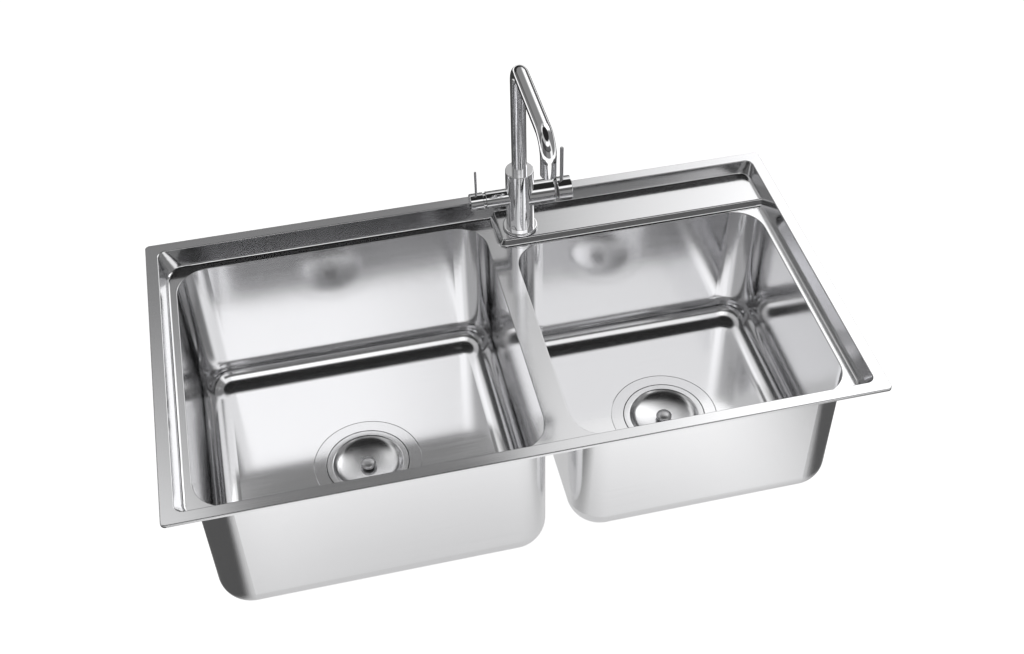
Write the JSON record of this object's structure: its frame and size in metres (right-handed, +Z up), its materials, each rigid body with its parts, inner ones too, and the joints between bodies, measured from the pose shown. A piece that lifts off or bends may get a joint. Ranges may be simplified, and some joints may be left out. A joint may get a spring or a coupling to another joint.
{
  "type": "double bowl kitchen sink",
  "caption": "Drop-in brushed steel kitchen sink with a large and a small bowl, a sunken ledge, strainer wastes and a swivel tap with a mixer lever and a filtered-water lever.",
  "frame": {"origin": "middle of the front rim, on the plane of the worktop under it", "axes": "+X to the right along the front rim, +Y to the back where the tap stands, +Z up"},
  "size_m": [0.82, 0.45, 0.639],
  "materials": {
    "deck_steel": "brushed",
    "bowl_steel": "brushed",
    "seal_foam": "matt foam",
    "pad_rubber": "matt",
    "drain_steel": "satin",
    "gasket_rubber": "matt",
    "slip_plastic": "matt",
    "nut_plastic": "matt",
    "pipe_plastic": "satin",
    "tray_steel": "polished",
    "knob_chrome": "polished",
    "stem_steel": "turned",
    "tap_chrome": "polished",
    "brass_fitting": "machined",
    "washer_steel": "turned",
    "aerator_plastic": "matt",
    "pin_satin": "satin",
    "valve_plastic": "matt"
  },
  "bodies": {
    "sink": {"deck_frame": "deck_steel", "left_bowl": "bowl_steel", "right_bowl": "bowl_steel", "rim_seal": "seal_foam", "left_deadening_pad": "pad_rubber", "right_deadening_pad": "pad_rubber", "left_drain_body": "drain_steel", "left_flange_seal": "gasket_rubber", "left_under_gasket": "gasket_rubber", "left_slip_ring": "slip_plastic", "left_locknut": "nut_plastic", "left_tail_washer": "gasket_rubber", "left_tailpiece": "pipe_plastic", "left_coupling_nut": "nut_plastic", "right_drain_body": "drain_steel", "right_flange_seal": "gasket_rubber", "right_under_gasket": "gasket_rubber", "right_slip_ring": "slip_plastic", "right_locknut": "nut_plastic", "right_tail_washer": "gasket_rubber", "right_tailpiece": "pipe_plastic", "right_coupling_nut": "nut_plastic", "tap_base_seal": "gasket_rubber", "tap_base_ring": "tap_chrome", "tap_body": "tap_chrome", "tap_shank": "brass_fitting", "tap_rubber_washer": "gasket_rubber", "tap_steel_washer": "washer_steel", "tap_shank_nut": "brass_fitting", "spout_gland": "tap_chrome", "spout_orings": "gasket_rubber", "filter_valve": "brass_fitting", "mixer_cartridge": "valve_plastic", "mixer_dome_nut": "tap_chrome"},
    "spout": {"spout_tube": "tap_chrome", "spout_aerator": "aerator_plastic"},
    "filter_handle": {"filter_cap": "tap_chrome", "filter_pin": "pin_satin", "filter_spindle": "brass_fitting"},
    "mixer_swivel": {"mixer_carrier": "valve_plastic", "mixer_pivot_pin": "stem_steel"},
    "mixer_lever": {"mixer_cap": "tap_chrome", "mixer_pin": "pin_satin", "mixer_stem": "stem_steel"},
    "left_strainer": {"left_strainer_tray": "tray_steel", "left_strainer_cage": "tray_steel", "left_strainer_knob": "knob_chrome", "left_strainer_stem": "stem_steel", "left_strainer_stopper": "gasket_rubber"},
    "right_strainer": {"right_strainer_tray": "tray_steel", "right_strainer_cage": "tray_steel", "right_strainer_knob": "knob_chrome", "right_strainer_stem": "stem_steel", "right_strainer_stopper": "gasket_rubber"}
  },
  "joints": [
    {"name": "spout_swivel", "type": "hinge", "parent": "sink", "child": "spout", "pos_m": [0.065, 0.38775, 0.0795], "axis": [0, 0, 1], "continuous": true},
    {"name": "filter_handle_turn", "type": "hinge", "parent": "sink", "child": "filter_handle", "pos_m": [0.0085, 0.38775, 0.0385], "axis": [1, 0, 0], "range_deg": [0, 90]},
    {"name": "mixer_turn", "type": "hinge", "parent": "sink", "child": "mixer_swivel", "pos_m": [0.101, 0.38775, 0.0385], "axis": [1, 0, 0], "range_deg": [-45, 45]},
    {"name": "mixer_tilt", "type": "hinge", "parent": "mixer_swivel", "child": "mixer_lever", "pos_m": [0.101, 0.38775, 0.0385], "axis": [0, 1, 0], "range_deg": [0, 12]},
    {"name": "left_strainer_lift", "type": "slide", "parent": "sink", "child": "left_strainer", "axis": [0, 0, 1], "range_m": [0, 0.3]},
    {"name": "right_strainer_lift", "type": "slide", "parent": "sink", "child": "right_strainer", "axis": [0, 0, 1], "range_m": [0, 0.3]}
  ]
}
